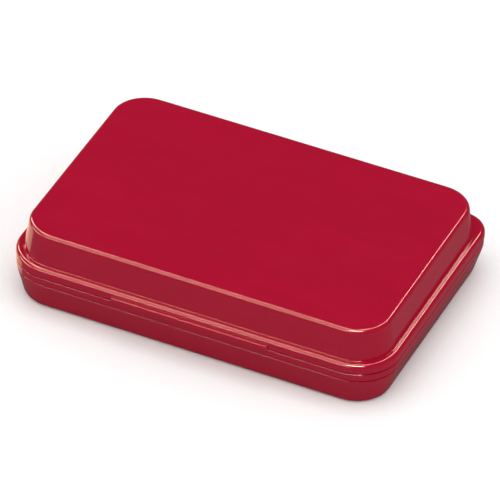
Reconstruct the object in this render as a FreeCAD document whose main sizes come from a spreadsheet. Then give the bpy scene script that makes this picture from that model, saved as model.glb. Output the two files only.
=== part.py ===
import FreeCAD, Part
import Sketcher
import math
import os
import re

# Desk ink pad: a two-tier hinged plastic case round an inked cloth pad.
#
# Frame: millimetres, +Z up, X along the long side, the finger lip at -Y and the hinge at +Y.
# The origin is the centre of the bounding rectangle on the surface that the case rests on.

DOC = FreeCAD.newDocument("ink_pad")


# ---------------------------------------------------------------- driving dimensions

DIMENSIONS = [
    # outer case
    ("case_length", 108.7, "lid skirt, side to side"),
    ("case_depth", 74.9, "lid skirt, front to back"),
    ("case_corner", 11.9, "plan radius of the lid skirt at the front"),
    ("back_corner", 7.8, "plan radius of the lid skirt at the back"),
    ("case_height", 22.7, "table to lid top"),
    ("edge_round", 1.2, "rounding of the lid's visible edges"),
    ("seam_round", 0.3, "rounding along the parting lines"),
    ("shell_wall", 1.4, "wall of the case mouldings"),
    # base tray
    ("tray_foot_inset", 2.5, "foot of the tray inside the lid skirt"),
    ("tray_top_inset", 0.2, "top of the tray inside the lid skirt"),
    ("tray_round", 1.4, "rounding of the tray's foot"),
    ("tray_top", 8.5, "height of the tray"),
    ("tray_floor", 1.4, "floor of the tray"),
    ("rib_top", 5.4, "height of the ribs under the ink well"),
    ("rib_wall", 1.2, "thickness of those ribs"),
    # rim frame: the middle band, its deck and the coaming round the well
    ("band_bottom", 8.75, "lower edge of the middle band"),
    ("band_top", 10.85, "upper edge of the middle band, level with the deck"),
    ("band_inset", 0.1, "band inside the lid skirt"),
    ("deck_under", 9.3, "underside of the deck"),
    ("seam_depth", 0.8, "how deep the open seam between tray and band is"),
    ("locating_bottom", 7.8, "lower edge of the rib that enters the tray"),
    ("locating_gap", 0.3, "tray brim to that rib"),
    ("spigot_top", 12.0, "top of the rib that centres the lid"),
    ("spigot_gap", 0.4, "lid skirt to spigot"),
    ("spigot_wall", 1.2, "spigot thickness"),
    ("coaming_length", 96.4, "coaming, outside"),
    ("coaming_depth", 62.4, "coaming, outside"),
    ("coaming_corner", 7.6, "plan radius of the coaming"),
    ("coaming_wall", 1.7, "coaming thickness below the rebate"),
    ("rebate_bottom", 13.4, "where the coaming steps in for the bezel"),
    ("rebate_step", 0.9, "depth of that step"),
    ("coaming_top", 16.3, "top of the coaming"),
    # ink well and the pad stack
    ("well_gap", 0.2, "well to coaming, all round"),
    ("well_wall", 0.9, "well wall and floor"),
    ("well_top", 16.1, "top of the well"),
    ("layer_gap", 0.2, "pad layers to well wall"),
    ("layer_corner", 4.6, "plan radius of the pad layers"),
    ("board_top", 7.1, "top of the stiffener board"),
    ("lower_felt_top", 10.1, "top of the lower felt"),
    ("upper_felt_top", 13.1, "top of the upper felt"),
    ("sponge_top", 15.7, "top of the sponge"),
    ("pad_length", 90.0, "exposed cloth"),
    ("pad_depth", 56.0, "exposed cloth"),
    ("pad_corner", 4.0, "plan radius of the exposed cloth"),
    ("cloth_hem_top", 16.4, "top of the hem clamped by the bezel"),
    ("cloth_top", 18.9, "top of the crowned cloth"),
    ("cloth_round", 1.6, "rounded shoulder of the cloth"),
    ("cloth_gap", 0.3, "cloth to bezel"),
    ("bezel_under", 16.4, "underside of the bezel's face"),
    ("bezel_top", 18.0, "top of the bezel's face"),
    ("bezel_skirt", 0.8, "thickness of the bezel's skirt"),
    ("bezel_gap", 0.15, "bezel above the coaming's step"),
    ("bezel_round", 0.6, "rounding of the bezel's outer edge"),
    # lid
    ("skirt_bottom", 11.1, "lower edge of the lid"),
    ("skirt_wall", 1.5, "lid skirt thickness"),
    ("ledge_top", 13.8, "top of the ledge round the plateau"),
    ("ledge_wall", 1.3, "thickness of the ledge"),
    ("plateau_length", 102.3, "plateau at its top"),
    ("plateau_depth", 68.5, "plateau at its top"),
    ("plateau_corner", 9.4, "plan radius at its top"),
    ("plateau_draft", 1.3, "how far each wall leans out down to the ledge"),
    ("foot_round", 0.15, "fillet between plateau and ledge"),
    ("seal_outer_length", 94.4, "outside of the gasket"),
    ("seal_outer_depth", 60.4, "outside of the gasket"),
    ("seal_corner", 6.6, "plan radius outside the gasket"),
    ("seal_width", 1.5, "gasket width"),
    ("seal_bottom", 18.15, "lower face of the gasket"),
    ("seal_rib_wall", 0.8, "each rib that holds the gasket"),
    ("seal_rib_bottom", 19.4, "lower edge of those ribs"),
    # finger lip and latch
    ("lip_length", 45.0, "finger lip along the front"),
    ("lip_proud", 0.9, "how far the lip stands out"),
    ("lip_end_round", 0.7, "rounding of the lip's ends"),
    ("lip_top", 12.5, "top of the lip"),
    ("latch_length", 12.0, "snap bead inside the front skirt"),
    ("latch_proud", 0.3, "how far the bead stands in"),
    ("latch_bottom", 11.35, "lower edge of the bead"),
    ("latch_top", 11.85, "upper edge of the bead"),
    # hinge
    ("hinge_height", 11.85, "hinge axis above the table"),
    ("barrel_radius", 1.9, "hinge barrel and knuckles"),
    ("barrel_length", 84.0, "lid barrel along the back"),
    ("cove_radius", 2.4, "relief in the band round the barrel"),
    ("cove_length", 100.0, "length of that relief"),
    ("pin_radius", 0.8, "steel pin"),
    ("pin_clearance", 0.05, "pin to lid knuckle"),
    ("pin_length", 18.0, "steel pin"),
    ("pin_chamfer", 0.2, "pin ends"),
    ("hinge_spacing", 52.0, "between the two hinge stations"),
    ("lid_knuckle", 8.0, "lid knuckle between two base knuckles"),
    ("base_knuckle", 5.0, "base knuckle"),
    ("knuckle_gap", 0.3, "side play beside a base knuckle"),
    ("web_front", 3.8, "front of the lid's hinge web, ahead of the axis"),
    # underside label
    ("label_length", 62.0, "label under the base"),
    ("label_depth", 30.0, "label under the base"),
    ("label_corner", 2.0, "label corner radius"),
    ("label_margin", 0.5, "recess round the label"),
    ("label_thickness", 0.12, "label"),
    ("label_recess", 0.25, "recess that holds the label"),
]

# ribs under the well, as shares of its length or depth from the middle
CROSS_RIBS = (-0.36, -0.12, 0.12, 0.36)
LONG_RIBS = (-0.25, 0.25)

# two lengths this close are the same, in millimetres
TOLERANCE = 1e-3


# ---------------------------------------------------------------- formulas on those dimensions

HALF_DEPTH = "case_depth / 2"
HINGE_Y = "(case_depth / 2 + lip_proud - barrel_radius)"
WELL_LENGTH = "(coaming_length - 2 * coaming_wall - 2 * well_gap)"
WELL_DEPTH = "(coaming_depth - 2 * coaming_wall - 2 * well_gap)"
WELL_CORNER = "(coaming_corner - coaming_wall - well_gap)"
LAYER_LENGTH = f"({WELL_LENGTH} - 2 * well_wall - 2 * layer_gap)"
LAYER_DEPTH = f"({WELL_DEPTH} - 2 * well_wall - 2 * layer_gap)"
STATION_LENGTH = "(lid_knuckle + 2 * base_knuckle + 4 * knuckle_gap)"
STATIONS = {"left": "(0 - hinge_spacing / 2)", "right": "(hinge_spacing / 2)"}


def make_sheet():
    """The spreadsheet of driving dimensions: alias, value and a note in each row."""
    table = DOC.addObject("Spreadsheet::Sheet", "sizes")
    for row, (alias, number, note) in enumerate(DIMENSIONS, start=1):
        table.set(f"A{row}", alias)
        table.set(f"B{row}", str(number))
        table.setAlias(f"B{row}", alias)
        table.set(f"C{row}", note)
    DOC.recompute()
    return table


SHEET = make_sheet()


def cells(formula):
    """Point every name in a formula at its spreadsheet cell."""
    return re.sub(r"[a-z][a-z_]+", lambda name: "sizes." + name.group(0), formula)


def value(formula):
    """The present value of a formula."""
    return float(SHEET.evalExpression(cells(formula)))


# ---------------------------------------------------------------- sketches

def new_body(name):
    """An empty body that becomes one node."""
    body = DOC.addObject("PartDesign::Body", name)
    body.Label = name
    return body


def new_sketch(body, name, plane="XY_Plane", offset="0"):
    """A sketch parallel to one of the body's own origin planes, moved along its normal."""
    sketch = body.newObject("Sketcher::SketchObject", name)
    support = [item for item in body.Origin.OriginFeatures if item.Role == plane][0]
    sketch.AttachmentSupport = [(support, "")]
    sketch.MapMode = "FlatFace"
    sketch.setExpression("AttachmentOffset.Base.z", cells(offset))
    return sketch


def fix_radius(sketch, geometry, name, formula):
    """Add a named radius, bound to the spreadsheet."""
    index = sketch.addConstraint(Sketcher.Constraint("Radius", geometry, value(formula)))
    sketch.renameConstraint(index, name)
    sketch.setExpression(f"Constraints.{name}", cells(formula))


def fix_place(sketch, direction, geometry, point, name, formula):
    """Hold a point at a signed distance from the sketch's origin, bound to the spreadsheet."""
    kind = f"Distance{direction}"
    if value(formula) >= 0:
        constraint = Sketcher.Constraint(kind, -1, 1, geometry, point, value(formula))
        bound = formula
    else:
        constraint = Sketcher.Constraint(kind, geometry, point, -1, 1, -value(formula))
        bound = f"0 - ({formula})"
    index = sketch.addConstraint(constraint)
    sketch.renameConstraint(index, name)
    sketch.setExpression(f"Constraints.{name}", cells(bound))


def fix_four_sides(sketch, name, sides, left, right, front, back):
    """Hold the front, right, back and left lines of a rectangle."""
    fix_place(sketch, "Y", sides[0], 1, f"{name}_front", front)
    fix_place(sketch, "X", sides[1], 1, f"{name}_right", right)
    fix_place(sketch, "Y", sides[2], 1, f"{name}_back", back)
    fix_place(sketch, "X", sides[3], 1, f"{name}_left", left)
    for index, line in enumerate(sides):
        direction = "Horizontal" if index % 2 == 0 else "Vertical"
        sketch.addConstraint(Sketcher.Constraint(direction, line))


def add_line(sketch, start, end):
    """Draw one straight line."""
    return sketch.addGeometry(Part.LineSegment(FreeCAD.Vector(*start, 0), FreeCAD.Vector(*end, 0)))


def add_box(sketch, name, left, right, front, back):
    """A rectangle between four signed distances from the sketch's origin."""
    x0, x1, y0, y1 = value(left), value(right), value(front), value(back)
    points = [(x0, y0), (x1, y0), (x1, y1), (x0, y1)]
    sides = [add_line(sketch, start, end) for start, end in zip(points, points[1:] + points[:1])]
    for index, line in enumerate(sides):
        following = sides[(index + 1) % 4]
        sketch.addConstraint(Sketcher.Constraint("Coincident", line, 2, following, 1))
    fix_four_sides(sketch, name, sides, left, right, front, back)


def add_rounded_rectangle(sketch, name, length, depth, corner, back_corner=None):
    """A rectangle with round corners, centred on the sketch's origin. The back two may differ."""
    half_x, half_y = value(length) / 2, value(depth) / 2
    front, back = value(corner), value(back_corner or corner)
    sides = [
        add_line(sketch, (front - half_x, -half_y), (half_x - front, -half_y)),
        add_line(sketch, (half_x, front - half_y), (half_x, half_y - back)),
        add_line(sketch, (half_x - back, half_y), (back - half_x, half_y)),
        add_line(sketch, (-half_x, half_y - back), (-half_x, front - half_y)),
    ]
    arcs = []
    for turn, (side_x, side_y) in enumerate(((1, -1), (1, 1), (-1, 1), (-1, -1)), start=-1):
        radius = front if side_y < 0 else back
        centre = FreeCAD.Vector(side_x * (half_x - radius), side_y * (half_y - radius), 0)
        circle = Part.Circle(centre, FreeCAD.Vector(0, 0, 1), radius)
        start = turn * math.pi / 2
        arcs.append(sketch.addGeometry(Part.ArcOfCircle(circle, start, start + math.pi / 2)))
    for index in range(4):
        following = sides[(index + 1) % 4]
        sketch.addConstraint(Sketcher.Constraint("Tangent", sides[index], 2, arcs[index], 1))
        sketch.addConstraint(Sketcher.Constraint("Tangent", arcs[index], 2, following, 1))
    front_right, back_right, back_left, front_left = arcs
    sketch.addConstraint(Sketcher.Constraint("Equal", front_right, front_left))
    sketch.addConstraint(Sketcher.Constraint("Equal", back_right, back_left))
    fix_radius(sketch, front_right, f"{name}_corner", corner)
    fix_radius(sketch, back_right, f"{name}_back_corner", back_corner or corner)
    half_length, half_depth = f"({length}) / 2", f"({depth}) / 2"
    fix_four_sides(sketch, name, sides, f"0 - {half_length}", half_length,
                   f"0 - {half_depth}", half_depth)


def add_circle(sketch, name, across, up, radius):
    """A circle at two signed distances from the sketch's origin."""
    centre = FreeCAD.Vector(value(across), value(up), 0)
    circle = sketch.addGeometry(Part.Circle(centre, FreeCAD.Vector(0, 0, 1), value(radius)))
    fix_radius(sketch, circle, f"{name}_radius", radius)
    fix_place(sketch, "X", circle, 3, f"{name}_across", across)
    fix_place(sketch, "Y", circle, 3, f"{name}_up", up)


def plan(body, name, level, *outlines):
    """A level sketch of one or two rounded rectangles, given as outlines."""
    sketch = new_sketch(body, name, "XY_Plane", level)
    for outline, tag in zip(outlines, ("outer", "inner")):
        add_rounded_rectangle(sketch, tag, *outline)
    return sketch


def shrunk(outline, inset):
    """An outline moved inwards on every side, with its corners still concentric."""
    length, depth, *corners = outline
    smaller = [f"({corner} - ({inset}))" for corner in corners]
    return (f"({length} - 2 * ({inset}))", f"({depth} - 2 * ({inset}))", *smaller)


# each outline is (length, depth, corner radius), with a fourth entry where the back corners differ
CASE = ("case_length", "case_depth", "case_corner", "back_corner")
COAMING = ("coaming_length", "coaming_depth", "coaming_corner")
PLATEAU = ("plateau_length", "plateau_depth", "plateau_corner")
SEAL = ("seal_outer_length", "seal_outer_depth", "seal_corner")
PAD = ("pad_length", "pad_depth", "pad_corner")
LAYER = (LAYER_LENGTH, LAYER_DEPTH, "layer_corner")
LABEL = ("label_length", "label_depth", "label_corner")


# ---------------------------------------------------------------- features

def extrude(body, kind, sketch, length, upwards=True, symmetric=False, lean=None):
    """A Pad or Pocket of a sketch, checked to add or to remove material.

    lean is how far every wall moves outwards over the whole length.
    """
    feature = body.newObject(f"PartDesign::{kind}", f"{sketch.Name}_{kind.lower()}")
    feature.Profile = sketch
    feature.Reversed = upwards if kind == "Pocket" else not upwards
    if symmetric:
        feature.SideType = "Symmetric"
    feature.setExpression("Length", cells(length))
    if lean:
        feature.setExpression("TaperAngle", f"atan(({cells(lean)}) / ({cells(length)}))")
    DOC.recompute()
    base = feature.BaseFeature
    change = feature.Shape.Volume - (base.Shape.Volume if base else 0)
    if (change > 0) != (kind == "Pad") or abs(change) < TOLERANCE or not feature.Shape.isValid():
        raise RuntimeError(f"{feature.Name} changed the volume by {change:.3f}")
    return feature


def dress(body, kind, name, feature, chooser, size):
    """Fillet or chamfer the edges of a feature that a chooser picks."""
    chosen = [f"Edge{i}" for i, edge in enumerate(feature.Shape.Edges, start=1) if chooser(edge)]
    if not chosen:
        raise RuntimeError(f"{name} found no edges")
    rounding = body.newObject(f"PartDesign::{kind}", name)
    rounding.Base = (feature, chosen)
    rounding.setExpression("Radius" if kind == "Fillet" else "Size", cells(size))
    DOC.recompute()
    return rounding


def edges_at(level, within=None):
    """A chooser of edges in one horizontal plane, optionally only those inside a plan outline."""
    height = value(level)

    def chooser(edge):
        box = edge.BoundBox
        if box.ZLength > TOLERANCE or abs(box.ZMax - height) > TOLERANCE:
            return False
        if within is None:
            return True
        reach_x, reach_y = max(-box.XMin, box.XMax), max(-box.YMin, box.YMax)
        return reach_x < value(within[0]) / 2 and reach_y < value(within[1]) / 2

    return chooser


# ---------------------------------------------------------------- base tray

def build_base_tray():
    """The bottom moulding: an open tray, ribs that carry the well, and a label recess."""
    body = new_body("base_tray")
    foot = plan(body, "tray_foot", "0", shrunk(CASE, "tray_foot_inset"))
    block = extrude(body, "Pad", foot, "tray_top", lean="tray_foot_inset - tray_top_inset")
    rounded = dress(body, "Fillet", "tray_foot_rounding", block, edges_at("0"), "tray_round")
    dress(body, "Fillet", "tray_brim_rounding", rounded, edges_at("tray_top"), "seam_round")
    cavity = plan(body, "tray_cavity", "tray_top", shrunk(CASE, "tray_top_inset + skirt_wall"))
    slope = "(tray_foot_inset - tray_top_inset) * (tray_top - tray_floor) / tray_top"
    extrude(body, "Pocket", cavity, "tray_top - tray_floor", upwards=False, lean=f"0 - {slope}")
    for index, share in enumerate(CROSS_RIBS):
        add_rib(body, f"cross_rib_{index}", "YZ_Plane", f"{WELL_LENGTH} * ({share})", WELL_DEPTH)
    for index, share in enumerate(LONG_RIBS):
        add_rib(body, f"long_rib_{index}", "XZ_Plane", f"{WELL_DEPTH} * ({share})", WELL_LENGTH)
    recess = plan(body, "label_recess_outline", "0", shrunk(LABEL, "0 - label_margin"))
    extrude(body, "Pocket", recess, "label_recess", upwards=True)
    return body


def add_rib(body, name, plane, offset, length):
    """One upright rib across the tray, rooted in the floor and as high as the well's underside."""
    elevation = new_sketch(body, name, plane, offset)
    add_box(elevation, "rib", f"0 - {length} / 2", f"{length} / 2", "tray_floor / 2", "rib_top")
    extrude(body, "Pad", elevation, "rib_wall", symmetric=True)


# ---------------------------------------------------------------- rim frame

def build_rim_frame():
    """The middle band with its deck, lid spigot, pad coaming and the base half of the hinge."""
    body = new_body("rim_frame")
    band = plan(body, "band", "band_bottom", shrunk(CASE, "band_inset"))
    block = extrude(body, "Pad", band, "band_top - band_bottom")
    rounded = dress(body, "Fillet", "band_top_rounding", block, edges_at("band_top"), "seam_round")
    dress(body, "Fillet", "band_bottom_rounding", rounded, edges_at("band_bottom"), "seam_round")
    hollow_the_deck(body)
    add_coaming(body)
    spigot = shrunk(CASE, "skirt_wall + spigot_gap")
    ring = plan(body, "lid_spigot", "band_top - seam_round", spigot, shrunk(spigot, "spigot_wall"))
    extrude(body, "Pad", ring, "spigot_top - band_top + seam_round")
    cove = new_sketch(body, "cove", "YZ_Plane")
    add_circle(cove, "cove", HINGE_Y, "hinge_height", "cove_radius")
    extrude(body, "Pocket", cove, "cove_length", symmetric=True)
    for side, station in STATIONS.items():
        add_base_knuckles(body, side, station)
    return body


def hollow_the_deck(body):
    """Core the deck from below, leaving a solid bar behind the hinge and a rib into the tray."""
    hollow = shrunk(CASE, "tray_top_inset + skirt_wall + locating_gap + rib_wall")
    core = plan(body, "deck_core", "band_bottom", hollow)
    extrude(body, "Pocket", core, "deck_under - band_bottom", upwards=True)
    bar = new_sketch(body, "hinge_bar", "XY_Plane", "band_bottom")
    add_box(bar, "bar", "0 - barrel_length / 2", "barrel_length / 2", "coaming_depth / 2",
            f"{HALF_DEPTH} - band_inset - skirt_wall")
    extrude(body, "Pad", bar, "band_top - band_bottom - seam_round")
    locating = shrunk(CASE, "tray_top_inset + skirt_wall + locating_gap")
    rib = plan(body, "locating_rib", "locating_bottom", locating, shrunk(locating, "rib_wall"))
    extrude(body, "Pad", rib, "deck_under - locating_bottom")
    seat = shrunk(CASE, "tray_top_inset + seam_depth")
    landing = plan(body, "tray_landing", "tray_top", seat, shrunk(seat, "skirt_wall"))
    extrude(body, "Pad", landing, "band_bottom + seam_round - tray_top")


def add_coaming(body):
    """The wall round the well, stepped in at the top to take the bezel's skirt."""
    lower = plan(body, "coaming", "band_bottom", COAMING)
    extrude(body, "Pad", lower, "rebate_bottom - band_bottom")
    upper = plan(body, "coaming_step", "rebate_bottom", shrunk(COAMING, "rebate_step"))
    extrude(body, "Pad", upper, "coaming_top - rebate_bottom")
    opening = plan(body, "well_opening", "coaming_top", shrunk(COAMING, "coaming_wall"))
    extrude(body, "Pocket", opening, "coaming_top - band_bottom", upwards=False)


def base_knuckles(station):
    """The X formulas of the two base knuckles of one hinge station."""
    reach = "(lid_knuckle / 2 + knuckle_gap + base_knuckle / 2)"
    return [f"({station} - {reach})", f"({station} + {reach})"]


def add_base_knuckles(body, side, station):
    """Two bored knuckles on feet that stand in the cove, with room for a lid knuckle between."""
    for index, centre in enumerate(base_knuckles(station)):
        foot = new_sketch(body, f"knuckle_foot_{side}_{index}", "YZ_Plane", centre)
        add_box(foot, "foot", f"{HINGE_Y} - barrel_radius", f"{HALF_DEPTH} - band_inset",
                "deck_under", "hinge_height")
        extrude(body, "Pad", foot, "base_knuckle", symmetric=True)
        barrel = new_sketch(body, f"knuckle_{side}_{index}", "YZ_Plane", centre)
        add_circle(barrel, "barrel", HINGE_Y, "hinge_height", "barrel_radius")
        extrude(body, "Pad", barrel, "base_knuckle", symmetric=True)
    bore = new_sketch(body, f"base_bore_{side}", "YZ_Plane", station)
    add_circle(bore, "bore", HINGE_Y, "hinge_height", "pin_radius")
    extrude(body, "Pocket", bore, STATION_LENGTH, symmetric=True)


# ---------------------------------------------------------------- ink well and pad

def build_ink_well():
    """The liner that keeps ink off the case: a thin open pan inside the coaming."""
    body = new_body("ink_well")
    well = (WELL_LENGTH, WELL_DEPTH, WELL_CORNER)
    outside = plan(body, "well_outside", "rib_top", well)
    extrude(body, "Pad", outside, "well_top - rib_top")
    inside = plan(body, "well_inside", "well_top", shrunk(well, "well_wall"))
    extrude(body, "Pocket", inside, "well_top - rib_top - well_wall", upwards=False)
    return body


def build_layer(name, bottom, top, outline=LAYER):
    """One flat layer of the pad stack."""
    body = new_body(name)
    sheet = plan(body, f"{name}_outline", bottom, outline)
    extrude(body, "Pad", sheet, f"{top} - ({bottom})")
    return body


def build_pad_cloth():
    """The inked cover: a hem clamped under the bezel and a rounded pad standing through it."""
    body = build_layer("pad_cloth", "sponge_top", "cloth_hem_top")
    face = plan(body, "cloth_face", "sponge_top", shrunk(PAD, "cloth_gap"))
    crown = extrude(body, "Pad", face, "cloth_top - sponge_top")
    dress(body, "Fillet", "cloth_shoulder", crown, edges_at("cloth_top"), "cloth_round")
    return body


def build_pad_bezel():
    """The frame that clamps the cloth and snaps over the coaming's step."""
    body = new_body("pad_bezel")
    outside = plan(body, "bezel_outside", "rebate_bottom + bezel_gap", COAMING)
    block = extrude(body, "Pad", outside, "bezel_top - rebate_bottom - bezel_gap")
    dress(body, "Fillet", "bezel_rounding", block, edges_at("bezel_top"), "bezel_round")
    socket = plan(body, "bezel_socket", "rebate_bottom", shrunk(COAMING, "bezel_skirt"))
    extrude(body, "Pocket", socket, "bezel_under - rebate_bottom", upwards=True)
    window = plan(body, "bezel_window", "bezel_top", PAD)
    extrude(body, "Pocket", window, "bezel_top - bezel_under", upwards=False)
    return body


# ---------------------------------------------------------------- lid

def build_lid_shell():
    """The lid moulding: ledge, plateau, skirt, finger lip, latch bead and lid hinge barrels."""
    body = new_body("lid_shell")
    ledge = plan(body, "ledge", "skirt_bottom", CASE)
    block = extrude(body, "Pad", ledge, "ledge_top - skirt_bottom")
    rounded = dress(body, "Fillet", "ledge_rounding", block, edges_at("ledge_top"), "edge_round")
    dress(body, "Fillet", "skirt_rounding", rounded, edges_at("skirt_bottom"), "seam_round")
    add_plateau(body)
    hollow_the_lid(body)
    add_seal_ribs(body)
    add_finger_lip(body)
    add_lid_hinge(body)
    return body


def add_plateau(body):
    """The raised top with slightly drafted walls, filleted above and below."""
    foot_outline = shrunk(PLATEAU, "0 - plateau_draft")
    foot = plan(body, "plateau_foot", "ledge_top", foot_outline)
    plateau = extrude(body, "Pad", foot, "case_height - ledge_top", lean="0 - plateau_draft")
    crowned = dress(body, "Fillet", "plateau_rounding", plateau, edges_at("case_height"), "edge_round")
    at_foot = edges_at("ledge_top", within=shrunk(foot_outline, "0 - seam_round"))
    dress(body, "Fillet", "plateau_foot_fillet", crowned, at_foot, "foot_round")


def hollow_the_lid(body):
    """Open the underside: a shallow pocket inside the skirt and a drafted one in the plateau."""
    under = plan(body, "skirt_inside", "skirt_bottom", shrunk(CASE, "skirt_wall"))
    extrude(body, "Pocket", under, "ledge_top - ledge_wall - skirt_bottom", upwards=True)
    mouth_outline = shrunk(PLATEAU, "shell_wall - plateau_draft")
    mouth = plan(body, "plateau_mouth", "ledge_top - ledge_wall", mouth_outline)
    extrude(body, "Pocket", mouth, "case_height - shell_wall - ledge_top + ledge_wall",
            upwards=True, lean="0 - plateau_draft")


def add_seal_ribs(body):
    """Two ribs under the roof with the gasket's channel between them."""
    outer = shrunk(SEAL, "0 - seal_rib_wall")
    inner = shrunk(SEAL, "seal_width")
    for name, outline in (("outer_seal_rib", outer), ("inner_seal_rib", inner)):
        rib = plan(body, name, "seal_rib_bottom", outline, shrunk(outline, "seal_rib_wall"))
        extrude(body, "Pad", rib, "case_height - shell_wall / 2 - seal_rib_bottom")


def add_finger_lip(body):
    """The round-ended lip that a finger lifts, and the snap bead behind it."""
    lip = new_sketch(body, "finger_lip", "XY_Plane", "skirt_bottom")
    front = f"(0 - {HALF_DEPTH})"
    add_box(lip, "lip", "0 - lip_length / 2", "lip_length / 2", f"{front} - lip_proud",
            f"{front} + skirt_wall / 2")
    raised = extrude(body, "Pad", lip, "lip_top - skirt_bottom")
    front_face = value(f"{front} - lip_proud")

    def lip_ends(edge):
        box = edge.BoundBox
        in_front = abs(box.YMin - front_face) < TOLERANCE and abs(box.YMax - front_face) < TOLERANCE
        return in_front and box.ZLength > TOLERANCE

    rounded = dress(body, "Fillet", "lip_ends", raised, lip_ends, "lip_end_round")

    def lip_rim(edge):
        box = edge.BoundBox
        level = box.ZLength < TOLERANCE and abs(box.ZMax - value("lip_top")) < TOLERANCE
        return level and box.YMin < value(front) - TOLERANCE

    dress(body, "Fillet", "lip_rounding", rounded, lip_rim, "seam_round")
    bead = new_sketch(body, "latch_bead", "XY_Plane", "latch_bottom")
    add_box(bead, "bead", "0 - latch_length / 2", "latch_length / 2", f"{front} + skirt_wall / 2",
            f"{front} + skirt_wall + latch_proud")
    extrude(body, "Pad", bead, "latch_top - latch_bottom")


def add_lid_hinge(body):
    """The long barrel and its web, cleared round the base knuckles and bored for the pins."""
    barrel = new_sketch(body, "barrel", "YZ_Plane")
    add_circle(barrel, "barrel", HINGE_Y, "hinge_height", "barrel_radius")
    bar = extrude(body, "Pad", barrel, "barrel_length", symmetric=True)
    end = value("barrel_length") / 2

    def barrel_end(edge):
        box = edge.BoundBox
        at_end = box.XLength < TOLERANCE and abs(abs(box.XMax) - end) < TOLERANCE
        return at_end and box.YMax > value(HALF_DEPTH)

    dress(body, "Chamfer", "barrel_ends", bar, barrel_end, "seam_round")
    web = new_sketch(body, "hinge_web", "YZ_Plane")
    add_box(web, "web", f"{HINGE_Y} - web_front", HINGE_Y, "skirt_bottom", "ledge_top - ledge_wall / 2")
    extrude(body, "Pad", web, "barrel_length", symmetric=True)
    for side, station in STATIONS.items():
        for index, centre in enumerate(base_knuckles(station)):
            notch = new_sketch(body, f"notch_{side}_{index}", "YZ_Plane", centre)
            add_circle(notch, "notch", HINGE_Y, "hinge_height", "barrel_radius + knuckle_gap")
            extrude(body, "Pocket", notch, "base_knuckle + 2 * knuckle_gap", symmetric=True)
        bore = new_sketch(body, f"lid_bore_{side}", "YZ_Plane", station)
        add_circle(bore, "bore", HINGE_Y, "hinge_height", "pin_radius + pin_clearance")
        extrude(body, "Pocket", bore, STATION_LENGTH, symmetric=True)


def build_seal_gasket():
    """The soft ring that closes on the bezel and keeps the ink from drying."""
    body = new_body("lid_seal_gasket")
    ring = plan(body, "gasket", "seal_bottom", SEAL, shrunk(SEAL, "seal_width"))
    extrude(body, "Pad", ring, "case_height - shell_wall - seal_bottom")
    return body


# ---------------------------------------------------------------- pins and label

def build_hinge_pin(side, station):
    """A chamfered steel pin, pressed into the base knuckles and free in the lid's."""
    body = new_body(f"hinge_pin_{side}")
    section = new_sketch(body, f"pin_section_{side}", "YZ_Plane", station)
    add_circle(section, "pin", HINGE_Y, "hinge_height", "pin_radius")
    rod = extrude(body, "Pad", section, "pin_length", symmetric=True)
    dress(body, "Chamfer", f"pin_ends_{side}", rod, lambda edge: edge.BoundBox.XLength < TOLERANCE,
          "pin_chamfer")
    return body


def build_underside_label():
    """The paper label in its recess, clear of the surface that the case stands on."""
    return build_layer("underside_label", "label_recess - label_thickness", "label_recess", LABEL)


# ---------------------------------------------------------------- assembly and files

def build_all():
    """Every node, from the table upwards."""
    nodes = [build_base_tray(), build_rim_frame(), build_ink_well()]
    nodes.append(build_layer("stiffener_board", "rib_top + well_wall", "board_top"))
    nodes.append(build_layer("lower_felt", "board_top", "lower_felt_top"))
    nodes.append(build_layer("upper_felt", "lower_felt_top", "upper_felt_top"))
    nodes.append(build_layer("pad_sponge", "upper_felt_top", "sponge_top"))
    nodes += [build_pad_cloth(), build_pad_bezel()]
    nodes += [build_hinge_pin(side, station) for side, station in STATIONS.items()]
    nodes += [build_underside_label(), build_lid_shell(), build_seal_gasket()]
    DOC.recompute()
    return nodes


def check_document(nodes):
    """Stop if any object failed or any node is not one valid closed solid."""
    for item in DOC.Objects:
        if "Invalid" in item.State or "Error" in item.State:
            raise RuntimeError(f"{item.Name} failed: {item.State}")
    for node in nodes:
        shape = node.Shape
        if shape.isNull() or not shape.isValid() or len(shape.Solids) != 1:
            raise RuntimeError(f"{node.Label} is not one valid solid")


def write_parts(nodes):
    """Write each node as its own STEP file."""
    os.makedirs("parts", exist_ok=True)
    for node in nodes:
        node.Shape.exportStep(os.path.join("parts", f"{node.Label}.step"))
        box = node.Shape.BoundBox
        print(f"{node.Label:18s} {node.Shape.Volume:10.1f} mm3  "
              f"x {box.XMin:.2f}..{box.XMax:.2f}  y {box.YMin:.2f}..{box.YMax:.2f}  "
              f"z {box.ZMin:.2f}..{box.ZMax:.2f}")


NODES = build_all()
check_document(NODES)
write_parts(NODES)
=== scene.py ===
"""Looks of the desk ink pad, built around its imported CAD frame."""
import math

import bmesh
import bpy
from mathutils import Matrix, Vector, noise


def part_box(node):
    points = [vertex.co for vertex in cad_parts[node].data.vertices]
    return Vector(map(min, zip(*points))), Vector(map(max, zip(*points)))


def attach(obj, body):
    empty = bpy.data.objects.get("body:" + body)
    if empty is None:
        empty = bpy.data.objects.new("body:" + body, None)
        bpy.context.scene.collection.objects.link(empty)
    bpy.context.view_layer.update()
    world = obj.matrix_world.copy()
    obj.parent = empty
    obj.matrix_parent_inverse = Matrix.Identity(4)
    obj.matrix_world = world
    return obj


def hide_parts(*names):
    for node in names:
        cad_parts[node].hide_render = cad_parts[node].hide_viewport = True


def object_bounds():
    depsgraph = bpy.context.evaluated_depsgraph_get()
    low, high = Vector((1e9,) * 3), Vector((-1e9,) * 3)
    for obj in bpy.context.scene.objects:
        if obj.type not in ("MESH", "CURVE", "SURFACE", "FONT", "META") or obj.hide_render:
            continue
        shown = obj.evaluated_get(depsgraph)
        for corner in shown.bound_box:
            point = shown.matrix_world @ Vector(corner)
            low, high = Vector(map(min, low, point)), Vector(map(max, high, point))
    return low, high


MM = 0.001
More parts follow.
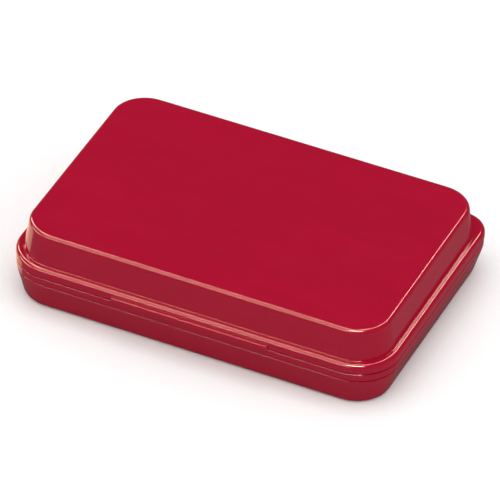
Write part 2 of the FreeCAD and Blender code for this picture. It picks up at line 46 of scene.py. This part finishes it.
WHITE = (1.0, 1.0, 1.0, 1.0)

# Camera: a long lens far away, the way a catalogue picture is taken
CAMERA_AZIMUTH = math.radians(22.50)
CAMERA_ELEVATION = math.radians(37.68)
CAMERA_ROLL = math.radians(-2.96)
CAMERA_DISTANCE = 1.7923
CAMERA_AIM_RIGHT = 0.43 * MM
CAMERA_AIM_UP = 7.80 * MM
CAMERA_LENS = 488.6
CAMERA_SENSOR = 36.0

# Stage
FLOOR_HALF = 6.0
FLOOR_DROP = 0.05 * MM
FLOOR_SEEN = 1.0
FLOOR_BOUNCE = 0.62
FLOOR_MIRRORED = 0.19
WORLD_SEEN = 1.0
WORLD_FILL = 0.72
WORLD_MIRRORED = 0.04
WARM = (1.0, 0.74, 0.60)
CARD_SIZE = 0.30
CARD_RADIANCE = 1.6
CARD_GAP = 4 * MM
CARD_COLOUR = (1.0, 0.62, 0.42)

# Lights: name, azimuth and elevation in degrees, distance, width, height, radiance
FILLS = (
    ("overhead", 0, 84, 1.3, 1.3, 1.1, 1.5),
    ("front_fill", -10, 30, 1.6, 1.4, 0.8, 0.6),
    ("right_fill", 100, 25, 1.5, 1.0, 0.6, 1.3),
)

# Strips: name, azimuth and elevation in degrees, width, height, radiance
STRIP_DISTANCE = 1.5
STRIPS = (
    ("overhead_strip", -103, 72, 0.20, 0.90, 16.0),
    ("middle_strip", -32, 56, 1.10, 0.80, 3.0),
    ("front_strip", -20, 26, 1.30, 0.18, 16.0),
    ("left_strip", -69, 13, 1.10, 0.18, 20.0),
    ("left_high_strip", -118, 42, 0.20, 1.30, 18.0),
    ("back_strip", 175, 59, 0.17, 1.25, 22.0),
    ("corner_spot", 20, 62, 0.70, 0.20, 90.0),
)

# Soft pieces
CORNER_STEPS = 10
EDGE_SHARES = (0.0, 0.35, 0.7, 1.0)
LAYER_CORNER = 4.6 * MM
LAYER_WAVES = 18 * MM
CLOTH_INSET = 0.5 * MM
CLOTH_CORNER = 3.7 * MM
CLOTH_EDGE = 1.0 * MM
CLOTH_HEM = 0.7 * MM
CLOTH_SWELL = 0.9 * MM
CLOTH_PRESSURE = 1.6
CLOTH_BENDING = 0.5
CLOTH_VOXEL = 0.9 * MM
THREAD_PITCH = 0.8 * MM
THREAD_WANDER = 1.5
TUCK_DEPTH = 0.25 * MM
TUCK_FADE = 3
TUCKS = 5
HEM_SIDEWAYS = 0.3
SIMULATION_FRAMES = 20

# Uneven surface of the felts and the sponge
WAVES_ROUGHNESS = 1.0
WAVES_LACUNARITY = 2.0
WAVES_OCTAVES = 3
WAVES_MEAN = 0.5
WAVES_PART_OF_EDGE = 3

# Seal ring in the lid
SEAL_CORNER = 6.6 * MM
SEAL_WIDTH = 1.5 * MM
SEAL_LIP = 0.5 * MM
SEAL_STEPS = 16

# Print on the label: a border and a writing line on each side of the middle
BORDER_INSET = 2.2 * MM
BORDER_HALF_WIDTH = 0.22 * MM
LINE_INSET = 7 * MM
LINE_FROM_MIDDLE = 4.5 * MM
LINE_HALF_WIDTH = 0.12 * MM
LABEL_PRINT = (0.20, 0.20, 0.22, 1.0)


# ---------------------------------------------------------------- material helpers

def start_material(name, **settings):
    """A Principled material with its constant inputs set. Gives the material, its tree and its shader."""
    material = bpy.data.materials.new(name)
    material.use_nodes = True
    tree = material.node_tree
    shader = tree.nodes["Principled BSDF"]
    for key, value in settings.items():
        shader.inputs[key.replace("_", " ")].default_value = value
    return material, tree, shader


def add(tree, kind, inputs, **settings):
    """A shader node: settings are its properties, and an input is either a number or a socket to link."""
    made = tree.nodes.new("ShaderNode" + kind)
    for key, value in settings.items():
        setattr(made, key, value)
    for key, value in inputs.items():
        if isinstance(value, bpy.types.NodeSocket):
            tree.links.new(value, made.inputs[key])
        else:
            made.inputs[key].default_value = value
    return made


def place(tree, stretch=(1.0, 1.0, 1.0)):
    """Coordinates of the surface in its own object, in metres, optionally stretched."""
    where = tree.nodes.new("ShaderNodeTexCoord").outputs["Object"]
    return add(tree, "Mapping", {"Vector": where, "Scale": stretch}).outputs["Vector"]


def mottle(tree, where, size, detail=2.0, distortion=0.0):
    """Noise whose features are about size metres across."""
    made = add(tree, "TexNoise", {
        "Vector": where, "Scale": 1.0 / size, "Detail": detail, "Distortion": distortion,
    })
    return made.outputs["Fac"]


def cells_of(tree, where, size):
    """Distance inside cells that are about size metres across."""
    made = add(tree, "TexVoronoi", {"Vector": where, "Scale": 1.0 / size}, feature="F1")
    return made.outputs["Distance"]


def remap(tree, factor, low, high, start=0.3, end=0.7):
    """factor from start..end spread over low..high."""
    made = add(tree, "MapRange", {
        "Value": factor, "From Min": start, "From Max": end, "To Min": low, "To Max": high,
    })
    return made.outputs["Result"]


def maths(tree, operation, first, second=0.0, third=0.0):
    """One Math node."""
    made = tree.nodes.new("ShaderNodeMath")
    made.operation = operation
    for socket, value in zip(made.inputs, (first, second, third)):
        if isinstance(value, bpy.types.NodeSocket):
            tree.links.new(value, socket)
        else:
            socket.default_value = value
    return made.outputs["Value"]


def ramp(tree, factor, stops):
    """A colour ramp with the (position, colour) stops."""
    made = add(tree, "ValToRGB", {"Fac": factor})
    elements = made.color_ramp.elements
    while len(elements) < len(stops):
        elements.new(0.5)
    for element, (position, colour) in zip(elements, stops):
        element.position = position
        element.color = (*colour, 1.0)
    return made.outputs["Color"]


def blend_colours(tree, factor, first, second, how="MIX"):
    """Two colours mixed by factor."""
    made = add(tree, "MixRGB", {"Fac": factor, "Color1": first, "Color2": second}, blend_type=how)
    return made.outputs["Color"]


def relief(tree, height, depth, under=None):
    """Surface relief of depth metres, on top of another relief if one is given."""
    inputs = {"Height": height, "Distance": depth, "Strength": 1.0}
    if under is not None:
        inputs["Normal"] = under
    return add(tree, "Bump", inputs).outputs["Normal"]


def finish_material(tree, shader, colour=None, roughness=None, normal=None):
    """Link what varies over the surface."""
    for key, socket in (("Base Color", colour), ("Roughness", roughness), ("Normal", normal)):
        if socket is not None:
            tree.links.new(socket, shader.inputs[key])


# ---------------------------------------------------------------- materials

def case_plastic():
    """Glossy red polystyrene: slight pigment flow, moulded ripple, hairline scratches and wipe haze."""
    material, tree, shader = start_material("case_plastic_look", IOR=1.59)
    here = place(tree)
    flow = mottle(tree, place(tree, (1.0, 2.2, 3.0)), 26 * MM, detail=3.0, distortion=0.8)
    speck = mottle(tree, here, 0.35 * MM, detail=3.0)
    body = ramp(tree, flow, [(0.25, (0.408, 0.0030, 0.0268)), (0.75, (0.443, 0.0036, 0.0298))])
    grain = ramp(tree, speck, [(0.3, (0.88, 0.86, 0.86)), (0.7, (1.0, 1.0, 1.0))])
    colour = blend_colours(tree, 1.0, body, grain, "MULTIPLY")

    haze = mottle(tree, place(tree, (1.0, 1.6, 1.0)), 9 * MM, detail=4.0, distortion=1.2)
    scratches = mottle(tree, place(tree, (0.06, 1.0, 1.0)), 0.24 * MM, detail=1.0)
    smooth = remap(tree, haze, 0.08, 0.12)
    scuffed = remap(tree, scratches, 0.0, 0.05, 0.62, 0.80)
    roughness = maths(tree, "ADD", smooth, scuffed)

    ripple = relief(tree, mottle(tree, here, 20 * MM, detail=1.0), 0.005 * MM)
    pebbling = relief(tree, mottle(tree, here, 0.45 * MM, detail=2.0), 0.0006 * MM, ripple)
    hairlines = relief(tree, scratches, 0.0006 * MM, pebbling)
    finish_material(tree, shader, colour, roughness, hairlines)
    return material


def well_plastic():
    """Off-white pan, stained where ink has crept up its wall."""
    material, tree, shader = start_material("well_plastic_look", IOR=1.48)
    here = place(tree)
    stain = mottle(tree, here, 11 * MM, detail=5.0, distortion=1.5)
    colour = ramp(tree, stain, [
        (0.30, (0.72, 0.70, 0.66)),
        (0.52, (0.70, 0.60, 0.56)),
        (0.66, (0.55, 0.16, 0.16)),
        (0.85, (0.34, 0.02, 0.04)),
    ])
    roughness = remap(tree, stain, 0.42, 0.22)
    normal = relief(tree, mottle(tree, here, 0.8 * MM, detail=3.0), 0.004 * MM)
    finish_material(tree, shader, colour, roughness, normal)
    return material


def chipboard():
    """Grey pressed board with fibre flecks."""
    material, tree, shader = start_material("board_look")
    here = place(tree)
    fibres = mottle(tree, place(tree, (1.0, 4.0, 1.0)), 2.2 * MM, detail=6.0, distortion=2.0)
    colour = ramp(tree, fibres, [
        (0.30, (0.20, 0.18, 0.155)),
        (0.55, (0.32, 0.30, 0.265)),
        (0.80, (0.42, 0.40, 0.36)),
    ])
    roughness = remap(tree, fibres, 0.82, 0.96)
    normal = relief(tree, mottle(tree, here, 0.5 * MM, detail=5.0), 0.03 * MM)
    finish_material(tree, shader, colour, roughness, normal)
    return material


def inked_felt():
    """Matted wool fibres, soaked unevenly, with painted shade in the hollows between the fibres."""
    material, tree, shader = start_material("felt_look", Sheen_Weight=0.15, Specular_IOR_Level=0.15)
    here = place(tree)
    long_fibres = mottle(tree, place(tree, (1.0, 5.0, 5.0)), 1.6 * MM, detail=5.0, distortion=3.0)
    cross_fibres = mottle(tree, place(tree, (5.0, 1.0, 5.0)), 1.9 * MM, detail=5.0, distortion=3.0)
    matted = maths(tree, "MAXIMUM", long_fibres, cross_fibres)
    soaked = mottle(tree, here, 14 * MM, detail=3.0)
    wet = ramp(tree, soaked, [(0.3, (0.16, 0.006, 0.012)), (0.7, (0.31, 0.018, 0.028))])
    # painted shade: the colour is darkened where the matted relief is lowest, in the hollows between the
    # fibres
    painted_hollow_shade = ramp(tree, matted, [(0.45, (0.55, 0.55, 0.55)), (0.75, WHITE[:3])])
    colour = blend_colours(tree, 1.0, wet, painted_hollow_shade, "MULTIPLY")
    roughness = remap(tree, soaked, 0.72, 0.93)
    finish_material(tree, shader, colour, roughness, relief(tree, matted, 0.22 * MM))
    return material


def inked_sponge():
    """Open-cell foam full of ink, with painted shade in its pores."""
    material, tree, shader = start_material("sponge_look", Sheen_Weight=0.1, Specular_IOR_Level=0.2)
    here = place(tree)
    pores = cells_of(tree, here, 0.75 * MM)
    fine_pores = cells_of(tree, here, 0.32 * MM)
    holes = maths(tree, "MULTIPLY_ADD", fine_pores, 0.4, pores)
    # painted shade: the colour is darkest at the pore centres, where the relief is lowest
    colour = ramp(tree, holes, [
        (0.1, (0.09, 0.003, 0.007)),
        (0.5, (0.28, 0.016, 0.026)),
        (0.9, (0.42, 0.05, 0.06)),
    ])
    roughness = remap(tree, holes, 0.55, 0.92, 0.1, 0.9)
    finish_material(tree, shader, colour, roughness, relief(tree, holes, 0.25 * MM))
    return material


def inked_cloth(pitch):
    """Plain weave of damp, inked thread, paler where the ink has been used up, with painted shade in the
    gaps between the threads.
    """
    material, tree, shader = start_material("inked_cloth_look", Sheen_Weight=0.06, Specular_IOR_Level=0.12)
    here = place(tree)
    wander = mottle(tree, here, 6 * MM, detail=2.0)
    warp = thread_profile(tree, here, "X", pitch, wander)
    weft = thread_profile(tree, here, "Y", pitch, wander)
    over = add(tree, "TexChecker", {
        "Vector": here, "Scale": 1.0 / pitch, "Color1": WHITE, "Color2": (0.0, 0.0, 0.0, 1.0),
    }).outputs["Fac"]
    upper = maths(tree, "MULTIPLY", warp, over)
    lower = maths(tree, "MULTIPLY", weft, maths(tree, "SUBTRACT", 1.0, over))
    weave = maths(tree, "ADD", upper, lower)

    used = mottle(tree, here, 17 * MM, detail=3.0, distortion=0.7)
    ink = ramp(tree, used, [
        (0.25, (0.150, 0.0030, 0.0085)), (0.55, (0.235, 0.0065, 0.0150)), (0.80, (0.330, 0.0160, 0.0290)),
    ])
    # painted shade: the colour is darkened where the weave relief is low, in the gaps between the threads
    painted_hollow_shade = ramp(tree, weave, [(0.0, (0.42, 0.42, 0.42)), (0.8, WHITE[:3])])
    colour = blend_colours(tree, 1.0, ink, painted_hollow_shade, "MULTIPLY")
    damp = remap(tree, used, 0.36, 0.68)
    fuzz = mottle(tree, here, 0.18 * MM, detail=3.0)
    normal = relief(tree, fuzz, 0.02 * MM, relief(tree, weave, 0.14 * MM))
    finish_material(tree, shader, colour, damp, normal)
    return material


def thread_profile(tree, where, direction, pitch, wander):
    """Rounded threads one pitch apart across the direction, slightly uneven."""
    # a Wave texture repeats every pi / 10 of its own units
    made = add(tree, "TexWave", {
        "Vector": where, "Scale": math.pi / 10.0 / pitch, "Distortion": 0.0,
        "Phase Offset": maths(tree, "MULTIPLY", wander, THREAD_WANDER),
    }, wave_type="BANDS", bands_direction=direction)
    return made.outputs["Fac"]


def bezel_plastic():
    """Black satin frame with the fine spark texture of its mould and a few ink smears."""
    material, tree, shader = start_material("bezel_look", IOR=1.5, Specular_IOR_Level=0.3)
    here = place(tree)
    smear = mottle(tree, place(tree, (1.0, 2.5, 1.0)), 13 * MM, detail=5.0, distortion=1.5)
    colour = ramp(tree, smear, [
        (0.35, (0.014, 0.014, 0.016)), (0.62, (0.022, 0.020, 0.022)), (0.74, (0.060, 0.008, 0.012)),
    ])
    roughness = remap(tree, smear, 0.46, 0.28)
    spark = cells_of(tree, here, 0.28 * MM)
    sparked = relief(tree, spark, 0.012 * MM)
    normal = relief(tree, mottle(tree, here, 0.12 * MM, detail=2.0), 0.004 * MM, sparked)
    finish_material(tree, shader, colour, roughness, normal)
    return material


def pin_steel():
    """Drawn steel wire, with fine lines along it."""
    material, tree, shader = start_material("pin_steel_look", Metallic=1.0)
    drawn = mottle(tree, place(tree, (0.05, 1.0, 1.0)), 0.10 * MM, detail=2.0)
    spots = mottle(tree, place(tree), 1.5 * MM, detail=4.0)
    colour = ramp(tree, spots, [(0.35, (0.46, 0.45, 0.44)), (0.6, (0.62, 0.62, 0.64))])
    roughness = remap(tree, drawn, 0.20, 0.42)
    finish_material(tree, shader, colour, roughness, relief(tree, drawn, 0.003 * MM))
    return material


def gasket_rubber():
    """Soft grey rubber with a powdery bloom."""
    material, tree, shader = start_material("gasket_look", IOR=1.5)
    here = place(tree)
    bloom = mottle(tree, here, 7 * MM, detail=5.0, distortion=0.6)
    colour = ramp(tree, bloom, [(0.3, (0.045, 0.045, 0.050)), (0.7, (0.085, 0.083, 0.088))])
    roughness = remap(tree, bloom, 0.58, 0.82)
    normal = relief(tree, mottle(tree, here, 0.2 * MM, detail=3.0), 0.01 * MM)
    finish_material(tree, shader, colour, roughness, normal)
    return material


def label_paper():
    """Uncoated off-white paper with a printed border and two blank writing lines."""
    material, tree, shader = start_material("label_look")
    here = place(tree)
    low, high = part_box("underside_label")
    middle = (low + high) / 2
    split = add(tree, "SeparateXYZ", {"Vector": here})
    across = maths(tree, "ABSOLUTE", maths(tree, "SUBTRACT", split.outputs["X"], middle.x))
    along = maths(tree, "ABSOLUTE", maths(tree, "SUBTRACT", split.outputs["Y"], middle.y))
    inner_x = maths(tree, "SUBTRACT", across, high.x - middle.x - BORDER_INSET)
    inner_y = maths(tree, "SUBTRACT", along, high.y - middle.y - BORDER_INSET)
    border = maths(tree, "COMPARE", maths(tree, "MAXIMUM", inner_x, inner_y), 0.0, BORDER_HALF_WIDTH)
    ruled = maths(tree, "COMPARE", along, LINE_FROM_MIDDLE, LINE_HALF_WIDTH)
    within = maths(tree, "LESS_THAN", across, high.x - middle.x - LINE_INSET)
    printed = maths(tree, "MAXIMUM", border, maths(tree, "MULTIPLY", ruled, within))

    fibres = mottle(tree, place(tree, (1.0, 3.0, 1.0)), 1.1 * MM, detail=6.0, distortion=2.5)
    paper = ramp(tree, fibres, [(0.3, (0.76, 0.745, 0.70)), (0.7, (0.87, 0.86, 0.83))])
    colour = blend_colours(tree, printed, paper, LABEL_PRINT)
    roughness = remap(tree, fibres, 0.70, 0.88)
    finish_material(tree, shader, colour, roughness, relief(tree, fibres, 0.015 * MM))
    return material


def dress(piece, material):
    """Give a piece or a CAD node its one material."""
    if piece.material_slots:
        for held in piece.material_slots:
            held.material = material
    else:
        piece.data.materials.append(material)


# ---------------------------------------------------------------- soft pieces

def rounded_outline(half_x, half_y, corner, height):
    """Corner points of a rounded rectangle, anticlockwise from the right-hand side."""
    points = []
    for quarter, (sign_x, sign_y) in enumerate(((1, 1), (-1, 1), (-1, -1), (1, -1))):
        centre = Vector((sign_x * (half_x - corner), sign_y * (half_y - corner), height))
        for step in range(CORNER_STEPS + 1):
            angle = math.radians(90) * (quarter + step / CORNER_STEPS)
            points.append(centre + corner * Vector((math.cos(angle), math.sin(angle), 0.0)))
    return points


def mesh_object(name, mesh_builder):
    """A new object from a bmesh."""
    mesh = bpy.data.meshes.new(name)
    mesh_builder.normal_update()
    mesh_builder.to_mesh(mesh)
    mesh_builder.free()
    made = bpy.data.objects.new(name, mesh)
    bpy.context.scene.collection.objects.link(made)
    return made


def stacked_outlines(rings, ring_shaped=False):
    """A closed skin through outlines of equal length, capped at both ends or joined into a ring."""
    made = bmesh.new()
    rows = [[made.verts.new(point) for point in ring] for ring in rings]
    count = len(rings[0])
    pairs = list(zip(rows, rows[1:]))
    if ring_shaped:
        pairs.append((rows[-1], rows[0]))
    else:
        made.faces.new(list(reversed(rows[0])))
        made.faces.new(rows[-1])
    for below, above in pairs:
        for index in range(count):
            following = (index + 1) % count
            made.faces.new((below[index], below[following], above[following], above[index]))
    bmesh.ops.recalc_face_normals(made, faces=made.faces)
    return made


def apply_modifier(piece, kind, **settings):
    """Add a modifier and bake it into the mesh."""
    modifier = piece.modifiers.new(kind.lower(), kind)
    for key, value in settings.items():
        setattr(modifier, key, value)
    bake_modifiers(piece)


def bake_modifiers(piece):
    """Replace the piece's mesh by what its modifiers make of it."""
    graph = bpy.context.evaluated_depsgraph_get()
    final = bpy.data.meshes.new_from_object(piece.evaluated_get(graph))
    piece.modifiers.clear()
    piece.data = final


def shade_smooth(piece):
    """Smooth shading over the whole piece."""
    for face in piece.data.polygons:
        face.use_smooth = True


def edge_ring(half_x, half_y, corner, edge, share, face, inwards):
    """One outline of a rounded edge: share 0 lies on the face and share 1 is where the sides begin."""
    inset = edge * (1 - share)
    rise = edge * (1 - math.sqrt(1 - share ** 2))
    return rounded_outline(half_x - inset, half_y - inset, corner - inset / 2, face + inwards * rise)


def slab(name, low, high, corner, edge, voxel):
    """A remeshed block with rounded plan corners and rounded upper and lower edges."""
    half_x = (high.x - low.x) / 2
    half_y = (high.y - low.y) / 2
    rings = []
    for share in EDGE_SHARES:
        rings.append(edge_ring(half_x, half_y, corner, edge, share, low.z, 1))
    for share in reversed(EDGE_SHARES):
        rings.append(edge_ring(half_x, half_y, corner, edge, share, high.z, -1))
    piece = mesh_object(name, stacked_outlines(rings))
    apply_modifier(piece, "REMESH", mode="VOXEL", voxel_size=voxel)
    return piece


def with_normals(piece):
    """The piece's vertices, each with the normal that it has before any of them moves."""
    normals = [vertex.normal.copy() for vertex in piece.data.vertices]
    return zip(piece.data.vertices, normals)


def bend_inwards(piece, size, depth):
    """Push the surface in, along its normals, by up to depth, in a pattern about size across."""
    for vertex, normal in with_normals(piece):
        waves = noise.fractal(vertex.co / size, WAVES_ROUGHNESS, WAVES_LACUNARITY, WAVES_OCTAVES)
        amount = min(1.0, max(0.0, WAVES_MEAN + waves))
        vertex.co -= normal * depth * amount


def soft_layer(node, name, edge, voxel, texture_size, texture_depth, material):
    """A porous layer of the pad in the place of its CAD slab."""
    low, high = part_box(node)
    piece = slab(name, low, high, LAYER_CORNER, edge, voxel)
    bend_inwards(piece, LAYER_WAVES, edge / WAVES_PART_OF_EDGE)
    bend_inwards(piece, texture_size, texture_depth)
    finish_soft(piece, node, "base", material)


def build_felts(material):
    """The two felts, with a fine matted surface."""
    for node in ("lower_felt", "upper_felt"):
        soft_layer(node, node + "_mat", edge=0.5 * MM, voxel=1.1 * MM,
                   texture_size=1.6 * MM, texture_depth=0.12 * MM, material=material)


def build_sponge(material):
    """The sponge under the cloth, with a pitted surface."""
    soft_layer("pad_sponge", "foam_layer", edge=0.4 * MM, voxel=0.8 * MM,
               texture_size=1.1 * MM, texture_depth=0.18 * MM, material=material)


def finish_soft(piece, node, body, material):
    """Shade a soft piece and tie it to the CAD node that it stands for."""
    shade_smooth(piece)
    dress(piece, material)
    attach(piece, body)
    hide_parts(node)


def swell(piece, held_below, pressure, limit):
    """Blow the piece up as cloth held at its lower edge. Every point stays within limit of its start."""
    start = [vertex.co.copy() for vertex in piece.data.vertices]
    held = piece.vertex_groups.new(name="held")
    held.add([index for index, point in enumerate(start) if point.z < held_below], 1.0, "REPLACE")
    cloth = piece.modifiers.new("cloth", "CLOTH")
    cloth.settings.vertex_group_mass = held.name
    cloth.settings.use_pressure = True
    cloth.settings.uniform_pressure_force = pressure
    cloth.settings.effector_weights.gravity = 0.0
    cloth.settings.bending_stiffness = CLOTH_BENDING
    cloth.point_cache.frame_start = 1
    cloth.point_cache.frame_end = SIMULATION_FRAMES
    for frame_number in range(1, SIMULATION_FRAMES + 1):
        bpy.context.scene.frame_set(frame_number)
    bake_modifiers(piece)
    for vertex, origin in zip(piece.data.vertices, start):
        moved = vertex.co - origin
        if moved.length > limit:
            vertex.co = origin + moved.normalized() * limit
    bpy.context.scene.frame_set(1)


def gather_corners(piece, half_x, half_y, corner, low, high):
    """Small tucks where the cloth is drawn round the corners, deepest at mid-height."""
    for vertex, normal in with_normals(piece):
        centre = Vector((
            math.copysign(half_x - corner, vertex.co.x),
            math.copysign(half_y - corner, vertex.co.y),
        ))
        outwards = Vector((vertex.co.x, vertex.co.y)) - centre
        if outwards.x * centre.x <= 0 or outwards.y * centre.y <= 0:
            continue
        rise = (vertex.co.z - low) / (high - low)
        reach = min(1.0, outwards.length / corner)
        angle = math.atan2(abs(outwards.y), abs(outwards.x))
        across = math.sin(2 * angle)
        upwards = max(0.0, math.sin(math.pi * min(1.0, rise)))
        fade = across * upwards * reach ** TUCK_FADE
        # the corner is a quarter of a turn, so TUCKS waves fit in it
        wave = 0.5 + 0.5 * math.cos(angle * TUCKS * 4)
        vertex.co -= normal * TUCK_DEPTH * fade * wave


def spread_hem(piece, low, hem):
    """Flare the held edge outwards, where the bezel clamps it."""
    for vertex, normal in with_normals(piece):
        share = 1.0 - (vertex.co.z - low) / hem
        if share > 0:
            sideways = Vector((normal.x, normal.y, 0.0))
            if sideways.length > HEM_SIDEWAYS:
                vertex.co += sideways.normalized() * CLOTH_INSET * share


def build_pad_cover(material):
    """The inked cloth: stretched over the sponge, crowned by simulation and tucked at its corners."""
    low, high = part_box("pad_cloth")
    step = Vector((CLOTH_INSET, CLOTH_INSET, 0.0))
    top = Vector((0.0, 0.0, CLOTH_SWELL))
    piece = slab("pad_cover", low + step, high - step - top, CLOTH_CORNER, CLOTH_EDGE, CLOTH_VOXEL)
    swell(piece, low.z + CLOTH_HEM, CLOTH_PRESSURE, CLOTH_SWELL)
    apply_modifier(piece, "SUBSURF", levels=1, render_levels=1)
    half = high - step
    gather_corners(piece, half.x, half.y, CLOTH_CORNER + CLOTH_EDGE, low.z, high.z)
    spread_hem(piece, low.z, CLOTH_HEM)
    finish_soft(piece, "pad_cloth", "base", material)


def build_seal(material):
    """The lid's soft ring, with two rounded lips that close on the bezel."""
    low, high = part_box("lid_seal_gasket")
    depth = high.z - low.z
    rings = [rounded_outline(high.x, high.y, SEAL_CORNER, high.z)]
    for step in range(SEAL_STEPS + 1):
        inset = SEAL_WIDTH * step / SEAL_STEPS
        reach = depth - SEAL_LIP * math.cos(2 * math.pi * step / SEAL_STEPS) ** 2
        rings.append(rounded_outline(high.x - inset, high.y - inset, SEAL_CORNER - inset, high.z - reach))
    rings.append(rounded_outline(high.x - SEAL_WIDTH, high.y - SEAL_WIDTH, SEAL_CORNER - SEAL_WIDTH, high.z))
    piece = mesh_object("seal_ring", stacked_outlines(rings, ring_shaped=True))
    finish_soft(piece, "lid_seal_gasket", "lid", material)


# ---------------------------------------------------------------- stage, light and camera

def grey(level):
    """An opaque grey."""
    return (level, level, level, 1.0)


def by_ray(tree, seen, fill, mirrored):
    """One colour for the camera, one for the soft light that it gives and one for its mirror image."""
    path = tree.nodes.new("ShaderNodeLightPath").outputs
    unseen = blend_colours(tree, path["Is Glossy Ray"], fill, mirrored)
    return blend_colours(tree, path["Is Camera Ray"], unseen, seen)


def build_floor():
    """A plain pale floor."""
    made = bmesh.new()
    bmesh.ops.create_grid(made, x_segments=2, y_segments=2, size=FLOOR_HALF)
    floor = mesh_object("floor", made)
    floor.location.z = -FLOOR_DROP
    material, tree, shader = start_material("floor_look", Roughness=1.0, Specular_IOR_Level=0.0)
    colour = by_ray(tree, grey(FLOOR_SEEN), grey(FLOOR_BOUNCE), grey(FLOOR_MIRRORED))
    finish_material(tree, shader, colour)
    dress(floor, material)


def build_world():
    """A white room that fills the shadows but is dark in reflections."""
    world = bpy.data.worlds.new("studio")
    world.use_nodes = True
    tree = world.node_tree
    light = by_ray(tree, grey(WORLD_SEEN), grey(WORLD_FILL), grey(WORLD_MIRRORED))
    tree.links.new(light, tree.nodes["Background"].inputs["Color"])
    bpy.context.scene.world = world


def direction(azimuth, elevation):
    """Unit vector from the object towards a place. Azimuth 0 is in front and 90 on the right."""
    flat = math.cos(elevation)
    return Vector((math.sin(azimuth) * flat, -math.cos(azimuth) * flat, math.sin(elevation)))


def area_light(name, width, height, radiance, fill):
    """A rectangular light: either a white fill, or a warm strip that only the gloss mirrors."""
    lamp = bpy.data.lights.new(name, "AREA")
    lamp.shape = "RECTANGLE"
    lamp.size = width
    lamp.size_y = height
    # a flat diffuse emitter sends out pi times its radiance per unit of area
    lamp.energy = math.pi * radiance * width * height
    lamp.color = WHITE[:3] if fill else WARM
    holder = bpy.data.objects.new(name, lamp)
    bpy.context.scene.collection.objects.link(holder)
    holder.visible_camera = False
    holder.visible_diffuse = fill
    holder.visible_glossy = not fill
    return holder


def softbox(name, azimuth, elevation, distance, width, height, radiance, fill):
    """A light aimed at the object."""
    holder = area_light(name, width, height, radiance, fill)
    towards = direction(math.radians(azimuth), math.radians(elevation))
    holder.location = towards * distance
    holder.rotation_euler = towards.to_track_quat("Z", "Y").to_euler()


def floor_card(low):
    """A warm card that lies face up beside the left end, for the left corners to mirror."""
    holder = area_light("floor_card", CARD_SIZE, CARD_SIZE, CARD_RADIANCE, fill=False)
    holder.data.color = CARD_COLOUR
    holder.location = (low.x - CARD_GAP - CARD_SIZE / 2, low.y + CARD_GAP + CARD_SIZE / 2, FLOOR_DROP)
    holder.rotation_euler.x = math.pi


def build_lights():
    """Soft fills for the faces, and strips whose mirror images draw the rounded edges."""
    for name, azimuth, elevation, distance, width, height, radiance in FILLS:
        softbox(name, azimuth, elevation, distance, width, height, radiance, fill=True)
    for name, azimuth, elevation, width, height, radiance in STRIPS:
        softbox(name, azimuth, elevation, STRIP_DISTANCE, width, height, radiance, fill=False)


def build_camera():
    """The camera on its azimuth and elevation, rolled a little, as the frame's axes give it."""
    back = direction(CAMERA_AZIMUTH, CAMERA_ELEVATION)
    right = Vector((math.cos(CAMERA_AZIMUTH), math.sin(CAMERA_AZIMUTH), 0.0))
    up = back.cross(right)
    place_of = back * CAMERA_DISTANCE + right * CAMERA_AIM_RIGHT + up * CAMERA_AIM_UP
    turned_right = right * math.cos(CAMERA_ROLL) - up * math.sin(CAMERA_ROLL)
    turned_up = right * math.sin(CAMERA_ROLL) + up * math.cos(CAMERA_ROLL)
    data = bpy.data.cameras.new("camera")
    data.sensor_width = CAMERA_SENSOR
    data.lens = CAMERA_LENS
    camera = bpy.data.objects.new("camera", data)
    bpy.context.scene.collection.objects.link(camera)
    axes = Matrix((turned_right, turned_up, back)).transposed()
    camera.matrix_world = Matrix.Translation(place_of) @ axes.to_4x4()
    bpy.context.scene.camera = camera


# ---------------------------------------------------------------- the scene

def dress_cad_nodes(nodes):
    """Better materials for the CAD nodes that stay."""
    looks = {
        case_plastic(): ("base_tray", "rim_frame", "lid_shell"),
        well_plastic(): ("ink_well",),
        chipboard(): ("stiffener_board",),
        bezel_plastic(): ("pad_bezel",),
        pin_steel(): ("hinge_pin_left", "hinge_pin_right"),
        label_paper(): ("underside_label",),
    }
    for material, names in looks.items():
        for name in names:
            dress(nodes[name], material)


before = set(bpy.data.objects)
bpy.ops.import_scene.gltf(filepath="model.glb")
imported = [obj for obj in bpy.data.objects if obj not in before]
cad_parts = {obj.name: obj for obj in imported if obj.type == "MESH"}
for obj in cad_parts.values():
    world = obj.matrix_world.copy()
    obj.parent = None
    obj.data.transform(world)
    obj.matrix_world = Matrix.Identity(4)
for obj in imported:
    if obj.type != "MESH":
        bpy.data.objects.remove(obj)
cad_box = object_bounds()
bpy.context.scene.view_settings.view_transform = "Standard"

dress_cad_nodes(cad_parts)
build_felts(inked_felt())
build_sponge(inked_sponge())
build_pad_cover(inked_cloth(THREAD_PITCH))
build_seal(gasket_rubber())

build_floor()
build_world()
build_lights()
floor_card(cad_box[0])
build_camera()
